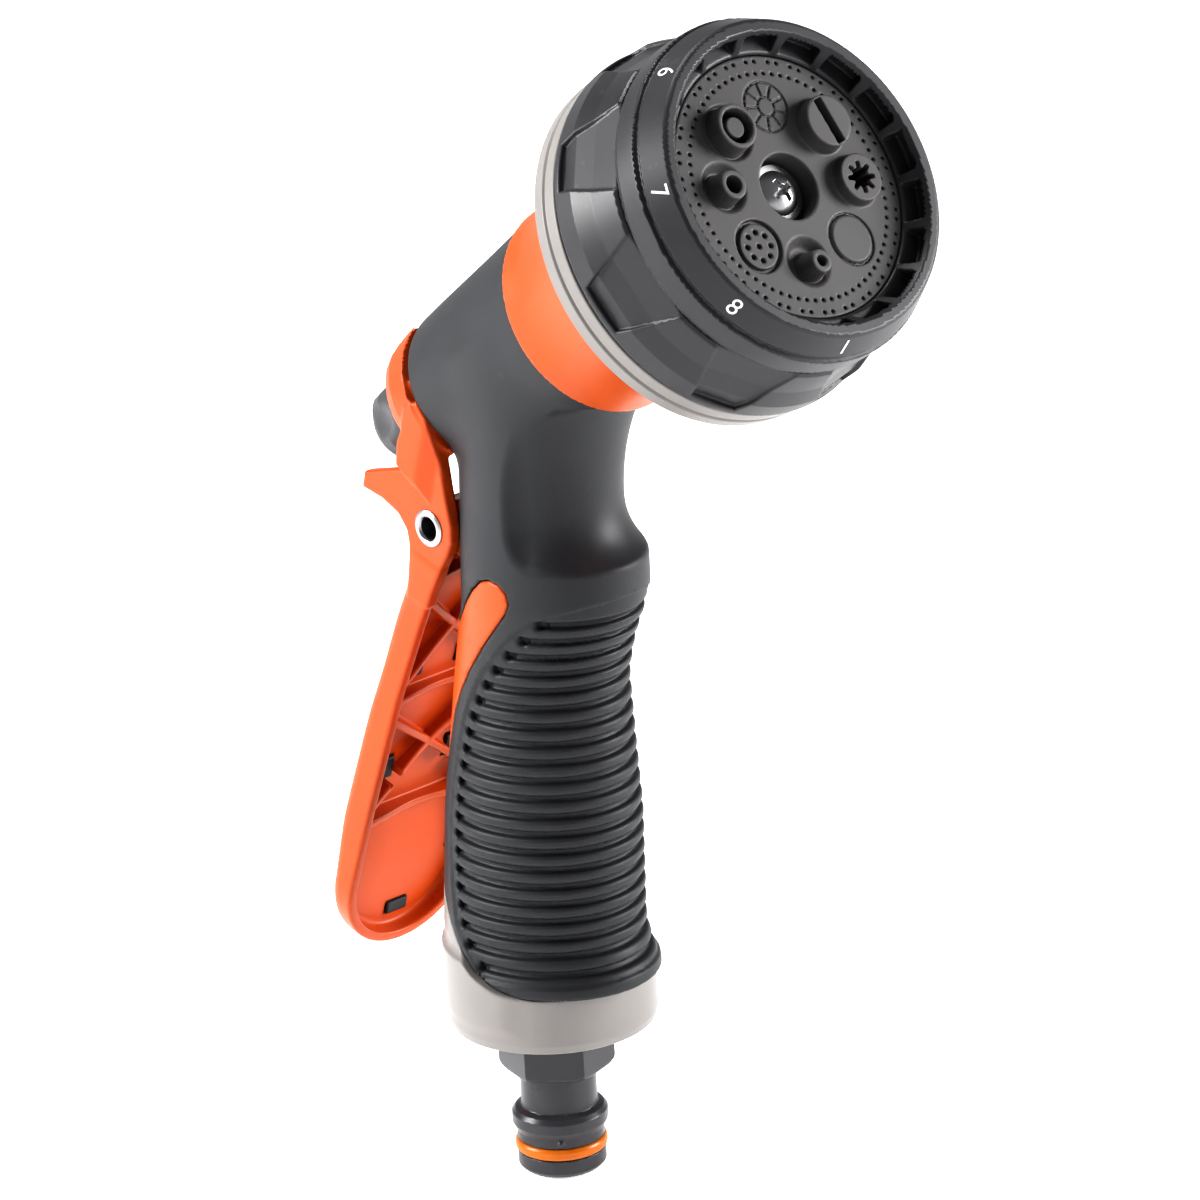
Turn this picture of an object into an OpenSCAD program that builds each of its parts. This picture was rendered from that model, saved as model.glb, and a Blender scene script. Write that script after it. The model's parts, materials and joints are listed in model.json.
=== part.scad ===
// Pistol-grip garden hose nozzle with a turning dial of eight sprays.
// Origin: centre of the hose plug's open end. +Z runs up the handle, +X is forward.

/* [Overall] */
// Height at which the head's axis crosses the handle's axis
bend_h = 152.8; // [127:0.1:184]
// Tilt of the head's axis above the horizontal, degrees
head_tilt = 31.5; // [26:0.5:38]
// Distance from that crossing to the rim of the head
head_reach = 84.6; // [70:0.1:102]

/* [Handle] */
// Half width of the grip at its fullest
grip_r = 18; // [15:0.1:21.6]
// Thickness of the soft grip sleeve
sleeve_t = 2; // [1.5:0.1:2.4]
// Radius of the water bore in the handle
water_r = 5.5; // [4.5:0.1:5.7]
// Radius of the barrel at its rear end
tail_r = 13.6; // [12.6:0.1:16]
// Radius of the barrel where it meets the orange neck
neck_r = 19.2; // [17:0.1:23]

/* [Hose plug] */
// Radius of the plug's nose
plug_nose_r = 7.95; // [7.8:0.01:8.1]
// Radius of the plug's locking ridge
plug_ridge_r = 8.7; // [8.6:0.01:8.9]
// Radius of the plug's neck
plug_neck_r = 6.9; // [6.7:0.01:7.1]
// Height of the plug below its hexagon
plug_h = 19.6; // [18:0.1:23.5]
// Width across the flats of the hexagon
hex_flats = 18.2; // [17:0.1:21.8]
// Height of the hexagon
hex_h = 8.9; // [7:0.1:10.7]

/* [Spray head] */
// Outer radius of the dial's grip ring
dial_r = 32.7; // [32:0.1:39]
// Outer radius of the front rim
rim_r = 27.7; // [27:0.1:28.5]
// Radius of the flat spray face
face_r = 23; // [22.8:0.1:23.4]
// Depth of the spray face behind the rim
face_depth = 4.3; // [3.6:0.1:5.2]
// Radius of the circle of eight sprays
station_r = 14; // [13.6:0.1:14.4]
// Angle of the first spray, measured from the foot of the dial
station_a = -10.6; // [-22:0.1:22]

/* [Valve] */
// Radius of the valve stem
stem_r = 3; // [2.5:0.1:3.6]
// Radius of the valve chamber in the barrel
chamber_r = 8.5; // [8:0.1:10.2]
// Free running clearance of shafts and rings
fit = 0.05; // [0.02:0.01:0.08]

/* [Trigger] */
// Distance of the trigger's pin below the head's axis
pin_drop = 20.1; // [18.5:0.1:24]
// Distance of the pin behind the crossing of the axes
pin_back = 26; // [24.5:0.1:31]
// Radius of the pin
pin_r = 2.9; // [2.4:0.1:3.5]
// Length of the lever below its pin
lever_len = 93; // [77:0.1:111]
// Half width of the lever's paddle
lever_w = 16; // [13.4:0.1:19]
// Depth of the lever's channel
lever_t = 6.6; // [5.6:0.1:8]
// Lean of the lever away from the handle, degrees
lever_lean = 18.4; // [17:0.1:22]

/* [Hidden] */
$fn = 64;
eps = 0.01;
wall = 2;                          // plain plastic wall
gap = 0.3;                         // clearance between parts that move past each other

// Handle, from the collar up
collar_z = plug_h + hex_h;         // underside of the light collar
collar_h = 11;                     // its height
collar_r = grip_r + 0.8;
floor_t = 2.5;                     // floor of the collar
core_z = collar_z + floor_t;       // foot of the core tube
sleeve_z = collar_z + collar_h;    // foot of the soft sleeve
spigot_r = 8.9;                    // the plug's threaded spigot
spigot_h = 9.5;
plug_bore_r = 5;                   // water bore of the plug
ring_low = 3.5;                    // the plug's groove for its ring, from here
ring_high = 5.9;                   // to here
ring_bed = 1.2;                    // depth of that groove
gasket_h = 1.6;
water_x = 3;                       // the water bore lies forward of the handle's axis
socket_top = collar_z + spigot_h + gasket_h;
loft_sides = 28;
// Handle sections: share of the way from the collar to the bend, offset forward, radius change
sections = [[0.058, 0.9, 1.1], [0.15, -0.6, 0.6], [0.33, 0.8, -0.1], [0.44, 1.6, -1.3], [0.54, 2.4, -2.3],
            [0.6, 4.2, -2.1], [0.645, 6.4, -1.3], [0.69, 6.8, -1.3], [0.735, 5, -2.7], [0.79, 4.3, -3.6],
            [0.84, 4.9, -3.3], [0.9, 6.6, -2.1], [1, 9.5, -1.2]];

// Head frame: its z runs out along the head's axis from the crossing point
barrel_end = -16;                  // rear end of the barrel
neck_z = 28;                       // front edge of the soft sleeve
neck_front_r = min(25.8, dial_r - 6);
core_tip_r = 15;                   // tip of the core, held in the back collar
core_tip_h = 6;
collar_back = head_reach - 32;     // rear of the light back collar
collar_front = head_reach - 25.6;
cup_r = dial_r - 5.6;              // fixed cup that the dial turns on
cup_front = head_reach - 13.9;
cup_wall = 2.4;
plate_back = head_reach - 13.4;    // rear of the mode plate
plate_t = 2.4;
face_gasket_t = 0.6;
face_rear = plate_back + plate_t + face_gasket_t;
face_front = head_reach - face_depth;
face_t = 2.4;
ring_back = head_reach - 25.4;
ring_front = head_reach - 10.9;
spindle_r = 3.6;
screw_r = 1.75;                    // centre screw, over its thread
screw_bore_r = 1.5;                // pilot hole that the thread cuts into
screw_head_r = 4;
spindle_end = head_reach - 8.35;
recess_floor = head_reach - 8.5;
recess_r = 5.8;
seat_z = 20;                       // sealing face of the valve seat
piston_z = seat_z - 8;             // rear face of the piston
seal_bed = 1.2;                    // depth of the seat's ring groove
gland_seal_t = 1.9;                // radial width of the gland's ring
gland_front = -9;
gland_r = 7;
seal_pocket_r = 4.6;
port_a = station_a + 180;          // the fixed port stands at the top
detent_r = 20.5;
ball_r = 1.5;
port_hole_r = 2.6;                 // water port through the cup
fine_holes = 72;
windows = 18;                      // windows round the rim

// Trigger
pin_x = -pin_back * cos(head_tilt) + pin_drop * sin(head_tilt);
pin_z = bend_h - pin_back * sin(head_tilt) - pin_drop * cos(head_tilt);
ear_in = 9.7;                      // inner face of the lever's ears
ear_out = 12.2;
ear_r = 4.5;
lug_r = 4.2;
lever_wall = 1.8;
rim_x = 1;                         // front rim of the paddle, ahead of the pin
shoulder_x = 3;                    // the same at the lever's shoulder
rib_top = -0.25 * lever_len;       // highest of the four ribs in the lever's channel
rib_step = 0.15 * lever_len;
rib_depth = lever_t - 2.3;
yoke_front = barrel_end - 0.6;     // yoke cap, just behind the barrel
yoke_t = 6;
yoke_floor = 3.4;                  // thickness of the yoke's cap, behind its skirt
yoke_back = yoke_front - yoke_t;
yoke_r = tail_r;
knob_z = yoke_back - gap;
knob_r = 8.8;
knob_len = 16.6;
stem_back = knob_z - 10;
thread_r = stem_r - 0.5;           // stem's thread, inside the knob's insert
insert_r = stem_r + 1.4;           // outside of the insert
yoke_foot = 9.5;                   // the yoke is cut off this far below the head's axis

module on_head(z = 0) translate([0, 0, bend_h]) rotate([0, 90 - head_tilt, 0])
    translate([0, 0, z]) children();
module on_lever() translate([pin_x, 0, pin_z]) rotate([0, lever_lean, 0]) children();
module at_station(i) rotate(station_a + 45 * i) translate([station_r, 0, 0]) children();
module at_port() rotate(port_a) translate([station_r, 0, 0]) children();
module at_detent() rotate(port_a + 90) translate([detent_r, 0, 0]) children();
module across(r, half) rotate([90, 0, 0]) cylinder(r = r, h = 2 * half, center = true);
module tube(r_out, r_in, h) difference() {
    cylinder(r = r_out, h = h);
    translate([0, 0, -1]) cylinder(r = r_in, h = h + 2);
}
// A ring of square section, centred on its own height
module tube_ring(r_in, r_out, h) rotate_extrude() translate([r_in, -h / 2]) square([r_out - r_in, h]);

// A solid through a list of rings of points, each ring counter-clockwise seen from its far end
module loft(rings) {
    n = len(rings[0]);
    last = (len(rings) - 1) * n;
    sides = [for (j = [0:len(rings) - 2], i = [0:n - 1])
        let (a = j * n + i, b = a + n, c = (j + 1) * n + (i + 1) % n, d = c - n) each [[a, b, c], [a, c, d]]];
    polyhedron([for (r = rings) each r],
        concat([[for (i = [0:n - 1]) i]], sides, [[for (i = [n - 1:-1:0]) last + i]]));
}
// Oval handle, drawn in by inset, with its foot at foot_z
function handle_ring(z, x, r) = [for (i = [0:loft_sides - 1])
    let (a = 360 * i / loft_sides) [x + 1.06 * r * cos(a), 0.94 * r * sin(a), z]];
module handle(inset, foot_z) {
    first = sections[0];
    loft(concat([handle_ring(foot_z, first[1], grip_r + first[2] - inset)],
        [for (s = sections) let (z = collar_z + s[0] * (bend_h - collar_z))
            if (z > foot_z + 1) handle_ring(z, s[1], grip_r + s[2] - inset)]));
}
// Tapered barrel, drawn in by inset
module barrel(inset, back, front) rotate_extrude() polygon([[0, back], [tail_r - 1.4 - inset, back],
    [tail_r - inset, back + 1.4], [tail_r + 1 - inset, -8], [neck_r - 2.4 - inset, 10],
    [neck_r - inset, front], [0, front]]);
// A coil spring along z
module coil(r, wire, len_z, turns) {
    steps = turns * 14;
    loft([for (k = [0:steps]) let (a = 360 * turns * k / steps, z = wire + (len_z - 2 * wire) * k / steps)
        [for (i = [0:7]) let (b = 45 * i)
            [(r + wire * cos(b)) * cos(a), (r + wire * cos(b)) * sin(a), z - wire * sin(b)]]]);
}

// ---- Fixed parts ----
module body_core() color("#EE7333") difference() {
    union() {
        handle(sleeve_t, core_z);
        on_head() {
            barrel(sleeve_t, barrel_end, neck_z);
            translate([0, 0, neck_z]) cylinder(r1 = neck_r, r2 = neck_front_r, h = collar_back - neck_z - 1);
            translate([0, 0, collar_back - 1 - eps]) cylinder(r = neck_front_r, h = 1 + eps);
            translate([0, 0, collar_back - eps]) cylinder(r = core_tip_r, h = core_tip_h);
        }
        hull() {
            translate([pin_x, 0, pin_z]) across(lug_r, ear_in - gap);
            translate([0, 0, pin_z]) across(lug_r + 3, ear_in - gap);
        }
    }
    translate([0, 0, core_z - 1]) cylinder(r = spigot_r + fit, h = socket_top - core_z + 1);
    translate([water_x, 0, core_z]) cylinder(r = water_r, h = bend_h - core_z);
    on_head(gland_front - eps) cylinder(r = chamber_r, h = head_reach);
    on_head(barrel_end - 1) cylinder(r = gland_r, h = gland_front - barrel_end + 2);
    translate([pin_x, 0, pin_z]) across(pin_r + fit, ear_out);
}
module grip_sleeve() color("#3E3E42") difference() {
    union() {
        handle(0, sleeve_z);
        on_head() barrel(0, barrel_end + 0.3, neck_z);
    }
    handle(sleeve_t, core_z);
    on_head() barrel(sleeve_t, barrel_end, neck_z);
    on_head(gland_front) cylinder(r = chamber_r, h = 30);
    hull() {
        translate([pin_x - 8, 0, pin_z]) across(lug_r, ear_in - gap);
        translate([0, 0, pin_z]) across(lug_r + 3, ear_in - gap);
    }
}
module base_collar() color("#B9B2AC") difference() {
    rotate_extrude() polygon([[0, collar_z], [collar_r - 1.6, collar_z], [collar_r - 0.4, collar_z + 0.6],
        [collar_r, collar_z + 1.8], [collar_r, sleeve_z], [0, sleeve_z]]);
    handle(sleeve_t, core_z);
    translate([0, 0, collar_z - 1]) cylinder(r = spigot_r + 0.3, h = spigot_h);
}
module hose_plug() color("#55555B") difference() {
    union() {
        rotate_extrude() polygon([[0, 0], [plug_nose_r - 0.8, 0], [plug_nose_r, 0.8],
            [plug_nose_r, ring_low],
            [plug_nose_r - ring_bed, ring_low], [plug_nose_r - ring_bed, ring_high],
            [plug_nose_r, ring_high], [plug_nose_r, ring_high + 1.6], [plug_ridge_r, ring_high + 3.1],
            [plug_ridge_r, ring_high + 5.7], [plug_neck_r, ring_high + 5.7], [plug_neck_r, plug_h],
            [0, plug_h]]);
        translate([0, 0, plug_h - eps]) rotate(-16) cylinder(r = hex_flats / sqrt(3), h = hex_h + eps, $fn = 6);
        translate([0, 0, collar_z - eps]) cylinder(r = spigot_r, h = spigot_h + eps);
    }
    translate([0, 0, -1]) cylinder(r = plug_bore_r, h = collar_z + spigot_h + 2);
}
module plug_o_ring() color("#DE7A1C") translate([0, 0, (ring_low + ring_high) / 2])
    tube_ring(plug_nose_r - ring_bed, plug_nose_r + 0.45, ring_high - ring_low - 0.2);
module plug_gasket() color("#2B2B2D") translate([0, 0, collar_z + spigot_h])
    tube(spigot_r - 0.2, plug_bore_r + 0.4, gasket_h);

module back_collar() color("#B9B2AC") on_head() difference() {
    rotate_extrude() polygon([[0, collar_back], [dial_r - 1.3, collar_back],
        [dial_r - 0.6, collar_back + 0.6], [dial_r - 0.5, collar_back + 2.8], [dial_r - 1, collar_back + 3.2],
        [dial_r - 0.5, collar_back + 3.6], [dial_r - 0.5, collar_front], [0, collar_front]]);
    translate([0, 0, collar_back - 1]) cylinder(r = core_tip_r, h = 10);
    translate([0, 0, collar_back + 2.6]) cylinder(r = cup_r - wall, h = 10);
}
module valve_cup() color("#9C9894") on_head() difference() {
    union() {
        translate([0, 0, collar_front]) cylinder(r = cup_r, h = cup_front - collar_front);
        translate([0, 0, cup_front - eps]) cylinder(r = spindle_r, h = spindle_end - cup_front);
    }
    difference() {
        translate([0, 0, collar_front - 1])
            cylinder(r = cup_r - wall, h = cup_front - cup_wall - collar_front + 1);
        translate([0, 0, cup_front - cup_wall - 7]) at_port() cylinder(r = seal_pocket_r + wall, h = 8);
        translate([0, 0, cup_front - cup_wall - 7]) at_detent() cylinder(r = ball_r + wall, h = 8);
        translate([0, 0, cup_front - 10]) cylinder(r = spindle_r + 1, h = 9);
    }
    translate([0, 0, cup_front - 7]) at_port() cylinder(r = seal_pocket_r, h = 8);
    translate([0, 0, collar_front]) at_port() cylinder(r = port_hole_r, h = 20);
    translate([0, 0, cup_front - 6.5]) at_detent() cylinder(r = ball_r + fit, h = 8);
    translate([0, 0, cup_front - 9]) cylinder(r = screw_bore_r, h = 30);
}
module cup_gasket() color("#2B2B2D") on_head(collar_back + core_tip_h)
    tube(core_tip_r, chamber_r + 1, 1);
module valve_seat() color("#D9D2C4") on_head(seat_z) difference() {
    cylinder(r = chamber_r - fit, h = 5);
    translate([0, 0, -1]) cylinder(r = 4.6, h = 7);
    rotate_extrude() translate([chamber_r - seal_bed, 1.6]) square([2, 1.8]);
}
module seat_o_ring() color("#2B2B2D") on_head(seat_z + 2.5) tube_ring(chamber_r - seal_bed, chamber_r, 1.6);
module stem_gland() color("#D9D2C4") on_head(barrel_end) difference() {
    cylinder(r = gland_r - fit, h = gland_front - barrel_end - 0.5);
    translate([0, 0, -1]) cylinder(r = stem_r + fit, h = 30);
    translate([0, 0, gland_front - barrel_end - 4]) cylinder(r = stem_r + gland_seal_t, h = 5);
}
module gland_o_ring() color("#2B2B2D") on_head(gland_front - 3)
    tube_ring(stem_r + 0.02, stem_r + gland_seal_t, 1.8);
module return_spring() color("#C9C9C9") on_head(gland_front - 0.4)
    coil(6.2, 0.6, piston_z - 0.1 - gland_front, 7);
module port_seal() color("#2B2B2D") on_head(cup_front - 2.6) at_port()
    tube(seal_pocket_r - 0.1, port_hole_r, 2.9);
module port_spring() color("#C9C9C9") on_head(cup_front - 6.95) at_port() coil(3.6, 0.4, 4.3, 3);
module detent_ball() color("#D5D5D5") on_head(cup_front - 1) at_detent() sphere(r = ball_r - fit);
module detent_spring() color("#C9C9C9") on_head(cup_front - 6.45) at_detent() coil(0.9, 0.25, 3.9, 5);
module centre_screw() color("#D8D8D8") on_head(spindle_end + 0.8) difference() {
    union() {
        cylinder(r = screw_head_r, h = 0.7);
        translate([0, 0, 0.7 - eps]) cylinder(r1 = screw_head_r, r2 = 2.6, h = 1.3);
        translate([0, 0, -12]) cylinder(r = screw_r, h = 12.5);
    }
    for (a = [0, 90]) rotate(a + 20) translate([-2.2, -0.45, 0.9]) cube([4.4, 0.9, 2]);
}
module screw_washer() color("#C4C4C4") on_head(spindle_end) tube(screw_head_r + 1, screw_r + 0.15, 0.8);

// ---- Trigger ----
module paddle(inset) hull() {
    translate([shoulder_x - lever_t + inset, inset + 0.2 - ear_out, -16])
        cube([lever_t, 2 * (ear_out - 0.2 - inset), 6]);
    translate([rim_x - lever_t + inset, 0, lever_w - lever_len]) rotate([0, 90, 0])
        cylinder(r = lever_w - inset, h = lever_t);
}
// A point of the head's frame, x out from the axis and z along it, seen in the lever's frame
function head_to_lever(x, z) =
    let (dx = z * cos(head_tilt) + x * sin(head_tilt) - pin_x,
         dz = bend_h + z * sin(head_tilt) - x * cos(head_tilt) - pin_z)
    [dx * cos(lever_lean) - dz * sin(lever_lean), dx * sin(lever_lean) + dz * cos(lever_lean)];
// Side plate of the lever: arm up to the yoke, ear round the pin, thumb tab and shoulder
module side_plate() rotate([90, 0, 0]) linear_extrude(ear_out - ear_in, center = true) union() {
    circle(r = ear_r);
    polygon([head_to_lever(4, yoke_front - 0.5), head_to_lever(4, yoke_back + 0.5),
        head_to_lever(8, yoke_back - 1), [-8.5, 7.5], [-17.8, 1.6], [-17.6, -1.7], [-9, -1.2], [-6, -2.6],
        [shoulder_x - lever_t, -7], [shoulder_x - lever_t, -13.5], [shoulder_x, -13.5], [ear_r - 0.4, -1],
        [2.1, 7.4], [0.4, 12.3]]);
}
module trigger_lever() color("#F2743E") difference() {
    union() {
        on_lever() {
            difference() {
                paddle(0);
                paddle(lever_wall);
            }
            intersection() {
                paddle(0.7 * lever_wall);
                for (i = [0:3]) translate([rim_x - lever_t, 0, rib_top - i * rib_step]) rib(lever_w);
            }
            // Bridge between the ears, behind the pin
            rotate([90, 0, 0]) linear_extrude(2 * ear_in + 1, center = true)
                polygon([[-6.6, -3], [-5, -3], [-5, -9], [-3, -11], [-3, -15.5], [-5, -15.5]]);
            for (side = [-1, 1]) translate([0, side * (ear_in + ear_out) / 2, 0]) side_plate();
        }
        on_head(yoke_back) difference() {
            rotate_extrude()
                polygon([[0, 0], [yoke_r - 1.5, 0], [yoke_r, 1.5], [yoke_r, yoke_t], [0, yoke_t]]);
            translate([0, 0, yoke_floor]) cylinder(r = yoke_r - wall, h = yoke_t);
            translate([yoke_foot, -ear_in, -1]) cube([yoke_r, 2 * ear_in, yoke_t + 2]);
        }
    }
    translate([pin_x, 0, pin_z]) across(pin_r, ear_out + 1);
    // Slot that lets the yoke swing about the stem
    on_head(yoke_back - 1) linear_extrude(yoke_t + 2) for (shift = [-2.3, 0, 2.3])
        translate([shift, 0]) circle(r = stem_r + 0.6);
}
module rib(half) rotate([90, 0, 0]) linear_extrude(2 * half, center = true)
    polygon([[0, 0], [rib_depth, -1], [rib_depth, 0.2], [0, 1.2]]);
module trigger_pad() color("#3E3E42") on_lever() difference() {
    hull() {
        translate([rim_x - lever_t - 1.4, 0, lever_w - lever_len]) rotate([0, 90, 0])
            cylinder(r = lever_w - 3.5, h = 3);
        translate([shoulder_x - lever_t - 1.8, -ear_out + 3, -22]) cube([3, 2 * ear_out - 6, 2]);
    }
    paddle(0);
}
module pivot_pin() color("#C9C9CC") translate([pin_x, 0, pin_z]) difference() {
    union() {
        across(pin_r, ear_out);
        for (side = [-1, 1]) translate([0, side * (ear_out + 0.3), 0]) across(pin_r + 0.7, 0.3);
    }
    across(pin_r - 0.9, ear_out + 1);
}

// ---- Stem ----
module valve_stem() color("#CFCFD2") on_head() difference() {
    translate([0, 0, stem_back]) cylinder(r = stem_r, h = piston_z - stem_back + 6);
    translate([0, 0, stem_back - 1]) tube(stem_r + 1, thread_r, 10);
}
module valve_piston() color("#D9D2C4") on_head(piston_z) tube(6.8, stem_r, 5.5);
module piston_seal() color("#2B2B2D") on_head(piston_z + 5.5) tube(6.2, stem_r, 2.3);

// ---- Flow knob ----
module flow_knob() color("#45454A") on_head(knob_z) difference() {
    union() {
        translate([0, 0, -1.6]) cylinder(r = 5, h = 1.6);
        translate([0, 0, 1.6 - knob_len]) rotate_extrude() polygon([[0, 0], [5.4, 0], [knob_r - 0.8, 1],
            [knob_r, 3], [knob_r, knob_len - 4], [knob_r - 0.9, knob_len - 3.2], [0, knob_len - 3.2]]);
    }
    translate([0, 0, stem_back - knob_z - 0.5]) cylinder(r = insert_r, h = 20);
    for (i = [0:9]) rotate(36 * i) translate([knob_r + 0.9, 0, -knob_len])
        cylinder(r = 1.6, h = knob_len - 2.6);
}
module knob_insert() color("#C8A24A") on_head(stem_back - 0.4) tube(insert_r, thread_r + fit, 8);

// ---- Dial ----
module grip_ring() color("#4A4A4E") on_head() difference() {
    rotate_extrude() polygon([[cup_r + gap, ring_back], [dial_r - 0.8, ring_back], [dial_r, ring_back + 0.8],
        [dial_r, ring_back + 5], [dial_r - 1.8, ring_front - 0.6], [dial_r - 2.4, ring_front],
        [face_r + 1.6, ring_front], [face_r + 1.6, ring_front - 2.2], [cup_r + gap, ring_front - 2.2]]);
    for (i = [0:7]) rotate(station_a + 22.5 + 45 * i)
        translate([dial_r - 1.2, 0, ring_back + 2.2]) grip_pocket();
}
// Shallow pocket, wider towards the front
module grip_pocket() rotate([90, 0, 90]) linear_extrude(4)
    polygon([[-4.4, 0], [4.4, 0], [8, 13], [-8, 13]]);
module rim_ring() color("#505054") on_head() difference() {
    rotate_extrude() polygon([[face_r + 0.1, ring_front], [dial_r - 2.3, ring_front],
        [dial_r - 2.4, head_reach - 5.6], [dial_r - 3.1, head_reach - 5.3], [dial_r - 3.1, head_reach - 4.9],
        [dial_r - 2.9, head_reach - 4.6], [rim_r + 0.1, head_reach - 0.5], [rim_r - 0.4, head_reach],
        [rim_r - 2, head_reach], [face_r + 0.1, face_front]]);
    for (i = [0:windows - 1]) rotate(8.2 + 360 / windows * i)
        translate([face_r - 1, -3, face_front + 0.3]) cube([3.4, 6, 2.3]);
}
module boss(r, h) translate([0, 0, -eps]) cylinder(r = r, h = h + eps);
module spray_face() color("#6A686A") on_head() difference() {
    union() {
        translate([0, 0, face_front - face_t]) cylinder(r = face_r, h = face_t);
        translate([0, 0, face_rear]) tube(face_r, face_r - 1.6, face_front - face_t - face_rear + eps);
        translate([0, 0, face_rear]) tube(19.2, 18, face_front - face_t - face_rear + eps);
        translate([0, 0, face_rear]) cylinder(r = recess_r + 1.4, h = face_front - face_rear - eps);
        for (i = [0:7]) rotate(station_a + 22.5 + 45 * i) translate([recess_r + 1, -0.6, face_rear])
            cube([12, 1.2, face_front - face_t - face_rear + eps]);
        translate([0, 0, face_front]) {
            at_station(0) boss(2.9, 3);
            at_station(1) boss(4.6, 0.5);
            at_station(2) boss(4.2, 2.4);
            at_station(3) boss(4.6, 3.2);
            at_station(5) boss(4.2, 3.4);
            at_station(6) boss(3.2, 3.4);
            at_station(7) boss(4.6, 0.5);
        }
    }
    translate([0, 0, recess_floor]) cylinder(r = recess_r, h = 10);
    translate([0, 0, face_rear - 1]) cylinder(r = spindle_r + fit, h = 12);
    translate([0, 0, face_rear + 1]) {
        at_station(0) cylinder(r = 1.9, h = 12);
        at_station(2) for (i = [0:7]) rotate(45 * i) translate([0, -0.5, 0]) cube([2.7, 1, 12]);
        at_station(3) rotate(64) translate([-4, -0.8, 0]) cube([8, 1.6, 12]);
        at_station(5) cylinder(r = 3.3, h = 12);
        at_station(6) cylinder(r = 2.2, h = 12);
        at_station(7) cylinder(r = 3.9, h = 12);
    }
    for (i = [0:fine_holes - 1]) rotate(360 / fine_holes * i)
        translate([20, 0, face_rear + 1]) cylinder(r = 0.4, h = 12, $fn = 6);
    // Door from the shower station's chamber to the ring of fine holes
    rotate(station_a + 45) translate([16, -1.5, face_rear - eps]) cube([5, 3, 1.6]);
}
module face_gasket() color("#2B2B2D") on_head(face_rear - face_gasket_t) difference() {
    cylinder(r = face_r, h = face_gasket_t);
    for (i = [0:7]) translate([0, 0, -1]) at_station(i) cylinder(r = 3, h = 3);
    translate([0, 0, -1]) cylinder(r = spindle_r + gap, h = 3);
}
module mode_plate() color("#5A5A5E") on_head(plate_back) difference() {
    cylinder(r = face_r + 1.5, h = plate_t);
    for (i = [0:7]) translate([0, 0, -1]) at_station(i) cylinder(r = 2.4, h = 5);
    translate([0, 0, -1]) cylinder(r = spindle_r + gap, h = 5);
    for (i = [0:7]) rotate(port_a + 45 * i) translate([detent_r, 0, -0.5]) sphere(r = ball_r + 0.35);
}
module cone_core() color("#6A686A") on_head(face_rear) at_station(5) union() {
    cylinder(r = 1.9, h = head_reach - face_rear - 1.4);
    difference() {
        tube(3.2, 1.8, 1);
        for (i = [0:3]) rotate(90 * i) translate([2.55, 0, -1]) cylinder(r = 0.5, h = 3);
    }
}
module centre_rose() color("#6A686A") on_head(face_front - 1.6) at_station(7) difference() {
    cylinder(r = 3.9, h = 1.9);
    for (i = [0:7]) rotate(45 * i) translate([2.5, 0, -1]) cylinder(r = 0.45, h = 5, $fn = 8);
    translate([0, 0, -1]) cylinder(r = 0.45, h = 5, $fn = 8);
}
module jet_insert() color("#57575B") on_head(face_rear + 1) at_station(6) difference() {
    cylinder(r = 2.2, h = 5);
    translate([0, 0, -eps]) cylinder(r1 = 1.9, r2 = 1.4, h = 5 + 2 * eps);
}
module mist_insert() color("#57575B") on_head(face_rear + 1) at_station(0) difference() {
    cylinder(r = 1.9, h = 4);
    translate([0, 0, -1]) cylinder(r = 0.8, h = 6);
}

body_core();
grip_sleeve();
base_collar();
hose_plug();
plug_o_ring();
plug_gasket();
back_collar();
valve_cup();
cup_gasket();
valve_seat();
seat_o_ring();
stem_gland();
gland_o_ring();
return_spring();
port_seal();
port_spring();
detent_ball();
detent_spring();
centre_screw();
screw_washer();
trigger_lever();
trigger_pad();
pivot_pin();
valve_stem();
valve_piston();
piston_seal();
flow_knob();
knob_insert();
grip_ring();
rim_ring();
spray_face();
face_gasket();
mode_plate();
cone_core();
centre_rose();
jet_insert();
mist_insert();
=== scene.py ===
"""Looks of the hose spray nozzle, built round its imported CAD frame.

Each shaped piece is a signed-distance field in millimetres, turned into a mesh by surface nets.
Turned pieces are lathed from rounded outlines. Places come from the frame's joints and boxes.
"""

import json
import math

import bpy
import numpy as np
from mathutils import Matrix, Vector


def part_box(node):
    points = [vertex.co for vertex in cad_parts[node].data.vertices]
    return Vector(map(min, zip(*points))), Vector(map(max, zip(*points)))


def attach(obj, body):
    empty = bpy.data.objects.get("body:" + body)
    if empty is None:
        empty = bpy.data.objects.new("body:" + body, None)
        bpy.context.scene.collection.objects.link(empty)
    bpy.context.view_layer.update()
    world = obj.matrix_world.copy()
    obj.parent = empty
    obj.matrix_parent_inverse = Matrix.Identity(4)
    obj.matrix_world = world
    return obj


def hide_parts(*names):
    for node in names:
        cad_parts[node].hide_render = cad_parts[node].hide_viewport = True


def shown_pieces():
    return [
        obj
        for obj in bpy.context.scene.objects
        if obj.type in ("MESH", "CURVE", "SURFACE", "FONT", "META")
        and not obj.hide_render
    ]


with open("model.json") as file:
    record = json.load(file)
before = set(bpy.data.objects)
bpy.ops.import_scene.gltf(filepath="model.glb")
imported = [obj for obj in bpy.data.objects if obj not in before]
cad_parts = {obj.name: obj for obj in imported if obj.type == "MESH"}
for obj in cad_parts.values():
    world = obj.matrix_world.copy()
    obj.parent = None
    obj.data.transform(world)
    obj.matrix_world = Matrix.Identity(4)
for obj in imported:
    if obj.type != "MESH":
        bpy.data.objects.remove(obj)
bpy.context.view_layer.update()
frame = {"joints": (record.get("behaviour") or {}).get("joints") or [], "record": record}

MM = 0.001
JOINTS = {joint["name"]: joint for joint in frame["joints"]}
UP_Y = np.array([0.0, 1.0, 0.0])

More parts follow.
